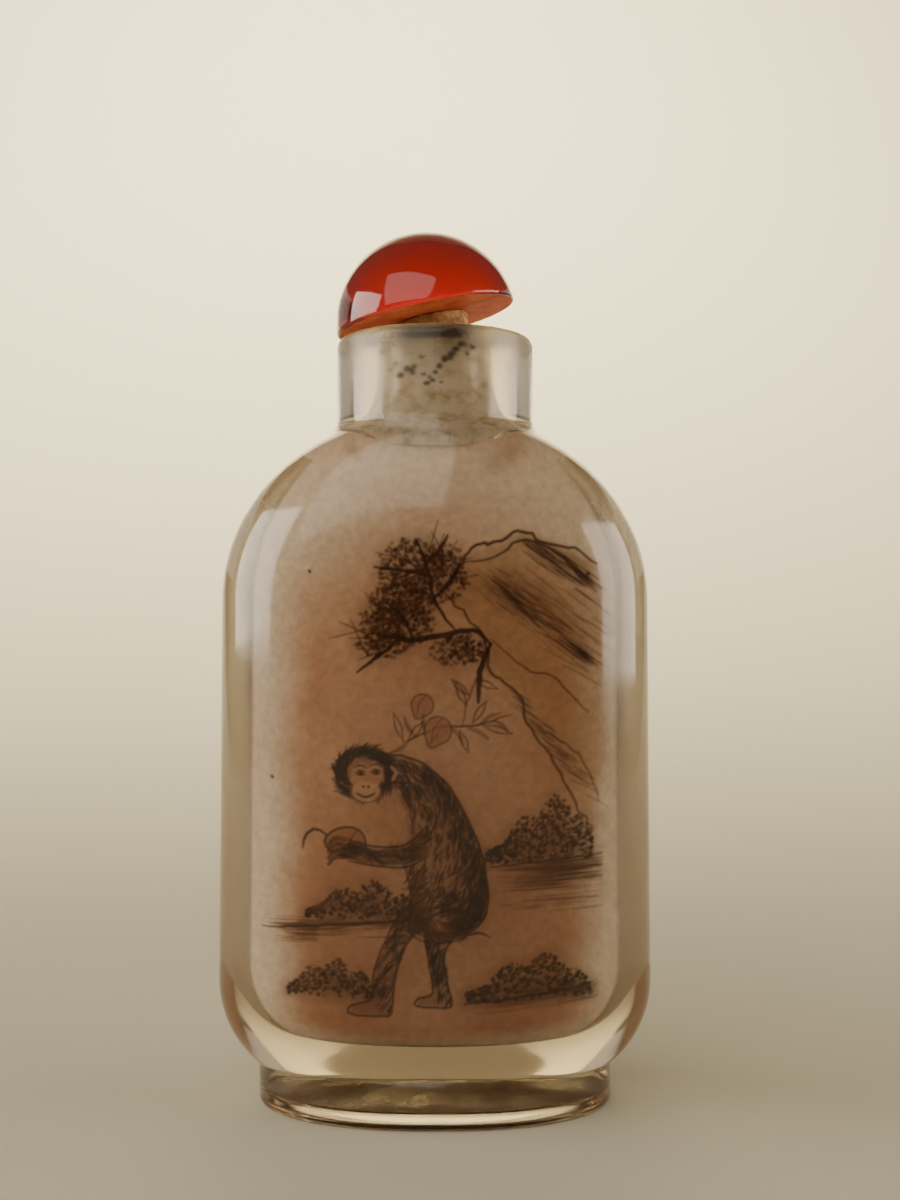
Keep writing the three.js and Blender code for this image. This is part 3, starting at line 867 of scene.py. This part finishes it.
def neck_grains():
    """Flattened grains on the bore's front, each set where the neck shows it, across and up from a point."""
    mesh = bmesh.new()
    random = np.random.default_rng(grain_seed)
    for across, up in grain_spots:
        x = across / dots_per_mm / bore_zoom
        z = grain_foot + up / dots_per_mm
        y = -math.sqrt(max(0, (bore_radius + grain_seat) ** 2 - x * x))
        radius = float(random.uniform(*grain_sizes)) * MM
        made = bmesh.ops.create_icosphere(mesh, subdivisions=2, radius=radius)
        stretch = random.uniform(0.6, 1.2, 3)
        turn = Matrix.Rotation(math.atan2(x, -y), 4, "Z")
        shape = Matrix.Translation(Vector((x, y, z)) * MM) @ turn @ Matrix.Diagonal(
            (stretch[0], grain_flatness, stretch[2], 1))
        bmesh.ops.transform(mesh, matrix=shape, verts=made["verts"])
    for face in mesh.faces:
        face.smooth = True
    return mesh


def snuff_grain():
    """Dark brown and matt."""
    finish = Finish("snuff_grain")
    finish.plain("Base Color", (0.07, 0.045, 0.02, 1))
    finish.feed("Roughness", finish.between(finish.noise(4000), 0.3, 0.7, 0.7, 0.95))
    return finish.material


grains = piece("neck_grains", neck_grains(), snuff_grain())


def spun(profile, sides):
    """A skin turned about the upright axis from a profile of half widths and heights."""
    mesh = bmesh.new()
    verts = [mesh.verts.new((x * MM, 0, z * MM)) for x, z in profile]
    for a, b in zip(verts, verts[1:]):
        mesh.edges.new((a, b))
    bmesh.ops.spin(mesh, geom=mesh.verts[:] + mesh.edges[:], cent=(0, 0, 0), axis=(0, 0, 1),
                   angle=2 * math.pi, steps=sides, use_merge=True)
    bmesh.ops.remove_doubles(mesh, verts=mesh.verts[:], dist=merge_distance * MM)
    bmesh.ops.recalc_face_normals(mesh, faces=mesh.faces[:])
    for face in mesh.faces:
        face.smooth = True
    return mesh


def bore_lining():
    """The dusty skin of the bore, a tube in the glass just behind its wall, wider in the throat."""
    widths, heights = zip(*reversed([(bore_radius, flare_height)] + flare(24)))
    rows = np.linspace(lining_foot, lining_top, 40)
    return spun([(float(np.interp(z, heights, widths)) + film_depth, z) for z in rows], 96)


def two_tone(finish, pattern, low_at, low_colour, high_at, high_colour):
    """Colours a finish from one tone to another as a pattern rises."""
    ramp = finish.nodes.new("ShaderNodeValToRGB")
    for stop, at, colour in zip(ramp.color_ramp.elements, (low_at, high_at), (low_colour, high_colour)):
        stop.position = at
        stop.color = (*colour, 1)
    finish.link(pattern, ramp.inputs["Fac"])
    finish.feed("Base Color", ramp.outputs["Color"])


def bore_dust():
    """A pale bloom with dusty clouds in it."""
    finish = Finish("bore_dust")
    cloud = finish.noise(900, 6, 0.62)
    two_tone(finish, cloud, 0.34, (0.55, 0.46, 0.29), 0.56, (0.96, 0.89, 0.73))
    finish.feed("Alpha", finish.between(cloud, 0.34, 0.6, 0.74, 0.66))
    finish.plain("Roughness", 0.8)
    finish.plain("Specular IOR Level", 0.0)
    return finish.material


lining = piece("bore_lining", bore_lining(), bore_dust())


# The stopper's dome
# A cap of solid red glass with a flat underside, polished all over, and glued to the cork plug that
# holds it. It leans, its left edge on the bottle's rim and its right side raised.
ball_radius, dome_height, dome_edge, dome_gap = 7.65, 7.2, 0.15, 0.25
lean = math.radians(11.9)
dome_sides, flat_below = 96, 0.02
base_radius = math.sqrt(ball_radius ** 2 - (ball_radius - dome_height) ** 2)
stopper_place = Matrix.Translation(Vector((
    base_radius * math.cos(lean) - neck_radius, 0,
    rim_height + dome_gap + (base_radius - rim_round) * math.sin(lean))) * MM)
stopper_place @= Matrix.Rotation(-lean, 4, "Y")


def dome_body():
    """The cap, turned upright and then set leaning on the neck. Its underside has a finish of its own."""
    ball_height = dome_height - ball_radius
    start = math.asin(-ball_height / ball_radius)
    skin = oval_arc(0, ball_height, ball_radius, ball_radius, start, math.pi / 2, 40)
    edge = [(base_radius - dome_edge - 0.4, 0), (base_radius - dome_edge, 0.01), (base_radius - 0.04, 0.05)]
    mesh = spun([(0, 0), (base_radius * 0.5, 0), *edge, *skin[1:-1], (0, dome_height)], dome_sides)
    for face in mesh.faces:
        if face.calc_center_median().z < flat_below * MM:
            face.material_index = 1
    bmesh.ops.transform(mesh, matrix=stopper_place, verts=mesh.verts[:])
    return mesh


def red_glass():
    """Solid red glass, darker where it is thick."""
    finish = Finish("red_glass")
    finish.glass((0.72, 0.17, 0.14, 1), 0.95, (0.77, 0.26, 0.26, 1), 290.0)
    finish.feed("Roughness", finish.between(finish.noise(300, 4), 0.4, 0.75, 0.03, 0.08))
    finish.bump(finish.noise(230, 1.5), 0.00005, 0.5)
    return finish.material


def glowing_underside():
    """The flat underside, glued to the cork: a matt orange in clouds, painted light for the glow that comes
    through the red glass.
    """
    finish = Finish("glowing_underside")
    cloud = finish.noise(420, 5, 0.55)
    # Painted light: the bright orange stands for light that glows through the red glass onto the underside.
    two_tone(finish, cloud, 0.35, (0.72, 0.11, 0.05), 0.65, (0.98, 0.27, 0.13))
    finish.feed("Roughness", finish.between(cloud, 0.3, 0.7, 0.5, 0.75))
    finish.plain("Specular IOR Level", 0.15)
    return finish.material


dome = piece("red_dome", dome_body(), red_glass(), glowing_underside())
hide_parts("stopper_dome")


# The stopper's cork
# A short plug cut from bottle cork and tapered, its end worn round. It is glued under the dome, a little
# off the dome's middle, and stands in the bore.
plug_gap, plug_top, plug_end, plug_length = 0.06, 3.0, 1.55, 5.84
plug_offset, plug_round, plug_belly, plug_wear, plug_sides = 0.55, 0.9, 2.6, 0.5, 64


def cork_body():
    """The plug under the dome, in the dome's leaning place, its flank worn a little uneven."""
    bottom = -plug_gap - plug_length
    end = oval_arc(plug_end - plug_round, bottom + plug_round, plug_round, plug_round, -math.pi / 2, 0, 8)
    flank = pulled_curve([end[-1], (plug_belly, bottom + plug_length * 0.5), (plug_top, -plug_gap - 0.2)], 16)
    lip = [(plug_top - 0.04, -plug_gap - 0.06), (plug_top - 0.2, -plug_gap)]
    top = [(plug_top * 0.5, -plug_gap), (0, -plug_gap)]
    mesh = spun([(0, bottom), *end, *flank, *lip, *top], plug_sides)
    for vert in mesh.verts:
        turn = math.atan2(vert.co.y, vert.co.x)
        height = vert.co.z / MM
        worn = 0.035 * math.sin(5 * turn + 2.1 * height) + 0.03 * math.sin(9 * turn - 3.3 * height)
        vert.co.x *= 1 + worn * plug_wear
        vert.co.y *= 1 + worn * plug_wear
    shift = Matrix.Translation((plug_offset * MM, 0, 0))
    bmesh.ops.transform(mesh, matrix=stopper_place @ shift, verts=mesh.verts[:])
    return mesh


def cork_finish():
    """Brown cork, pitted and dull."""
    finish = Finish("plug_cork")
    grain = finish.noise(1600, 6, 0.6)
    two_tone(finish, grain, 0.32, (0.22, 0.10, 0.035), 0.66, (0.74, 0.43, 0.19))
    finish.feed("Roughness", finish.between(grain, 0.3, 0.7, 0.95, 0.75))
    finish.bump(grain, 0.0002, 0.8)
    return finish.material


plug = piece("cork_plug", cork_body(), cork_finish())
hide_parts("stopper_cork")


# The sweep that the bottle stands on, the lights and the camera
# Warm white paper that curves up behind, lit by soft panels, seen from the photograph's place.
sweep_half_width, sweep_front, sweep_bend, sweep_radius, sweep_top = 0.26, -0.6, 0.09, 0.46, 1.2
side_light, right_light, neck_light, backdrop_light = (
    (1.0, 0.92, 0.80), (1.0, 0.90, 0.77), (1.0, 0.92, 0.78), (1.0, 0.90, 0.64))
camera_across, camera_height, camera_distance, camera_lens = 1.27, 41.7, 125.4, 44.4


def paper_sweep():
    """A strip of paper: flat under the bottle, then an arc, then upright."""
    mesh = bmesh.new()
    profile = [(sweep_front, 0), (sweep_bend, 0)]
    profile += [(sweep_bend + sweep_radius * math.sin(a), sweep_radius - sweep_radius * math.cos(a))
                for a in np.linspace(0.05, math.pi / 2, 24)]
    profile += [(sweep_bend + sweep_radius, sweep_top)]
    verts = [mesh.verts.new((-sweep_half_width, y, z)) for y, z in profile]
    edges = [mesh.edges.new(pair) for pair in zip(verts, verts[1:])]
    wide = bmesh.ops.extrude_edge_only(mesh, edges=edges)
    moved = [item for item in wide["geom"] if isinstance(item, bmesh.types.BMVert)]
    bmesh.ops.translate(mesh, vec=(2 * sweep_half_width, 0, 0), verts=moved)
    bmesh.ops.recalc_face_normals(mesh, faces=mesh.faces[:])
    for face in mesh.faces:
        face.smooth = True
    data = bpy.data.meshes.new("paper_sweep")
    mesh.to_mesh(data)
    mesh.free()
    return bpy.data.objects.new("paper_sweep", data)


def paper_finish():
    """Matt paper."""
    finish = Finish("warm_paper")
    finish.plain("Base Color", (0.50, 0.465, 0.35, 1))
    finish.feed("Roughness", finish.between(finish.noise(90), 0.3, 0.7, 0.85, 0.95))
    return finish.material


def soft_panel(name, place, aim, size, power, colour, spread=180):
    """A rectangular lamp at a place, turned to what it lights."""
    data = bpy.data.lights.new(name, "AREA")
    data.shape = "RECTANGLE"
    data.size, data.size_y = size
    data.energy = power
    data.color = colour
    data.spread = math.radians(spread)
    panel = bpy.data.objects.new(name, data)
    panel.location = place
    panel.rotation_euler = (Vector(aim) - Vector(place)).to_track_quat("-Z", "Y").to_euler()
    bpy.context.collection.objects.link(panel)


sweep = paper_sweep()
sweep.data.materials.append(paper_finish())
bpy.context.collection.objects.link(sweep)
soft_panel("room_panel", (-0.30, -0.62, 0.56), (0, 0, 0.045), (0.90, 0.64), 4.0, side_light)
soft_panel("window_panel", (-0.86, -0.06, 0.26), (0, 0, 0.045), (0.74, 0.50), 9.0, side_light)
soft_panel("right_panel", (0.88, -0.02, 0.22), (0, 0, 0.055), (0.74, 0.46), 6.0, right_light)
soft_panel("neck_panel_left", (-0.42, 0.40, 0.20), (0, 0, 0.06), (0.34, 0.20), 0.18, neck_light)
soft_panel("neck_panel_right", (0.42, 0.40, 0.20), (0, 0, 0.06), (0.34, 0.20), 0.14, neck_light)
soft_panel("backdrop_panel", (-0.05, 0.16, 0.66), (-0.03, 0.56, 0.12), (0.46, 0.22), 5.2, backdrop_light, 85)

# The air lights the glass dimly, and looks paler where the camera sees it past the paper
world = bpy.data.worlds.new("studio_air")
world.use_nodes = True
air = world.node_tree.nodes
dim_air = air["Background"]
dim_air.inputs["Color"].default_value = (0.55, 0.47, 0.37, 1)
dim_air.inputs["Strength"].default_value = 0.22
pale_air = air.new("ShaderNodeBackground")
pale_air.inputs["Color"].default_value = (0.80, 0.75, 0.64, 1)
pale_air.inputs["Strength"].default_value = 1.6
seen = air.new("ShaderNodeLightPath")
air_mix = air.new("ShaderNodeMixShader")
for source, target in ((seen.outputs["Is Camera Ray"], air_mix.inputs[0]),
                       (dim_air.outputs[0], air_mix.inputs[1]),
                       (pale_air.outputs[0], air_mix.inputs[2]),
                       (air_mix.outputs[0], air["World Output"].inputs[0])):
    world.node_tree.links.new(source, target)
bpy.context.scene.world = world

camera_data = bpy.data.cameras.new("photo_camera")
camera_data.lens = camera_lens
camera_data.clip_start = 0.005
camera = bpy.data.objects.new("photo_camera", camera_data)
camera.location = (camera_across * MM, -camera_distance * MM, camera_height * MM)
camera.rotation_euler = (math.pi / 2, 0, 0)
bpy.context.collection.objects.link(camera)
bpy.context.scene.camera = camera
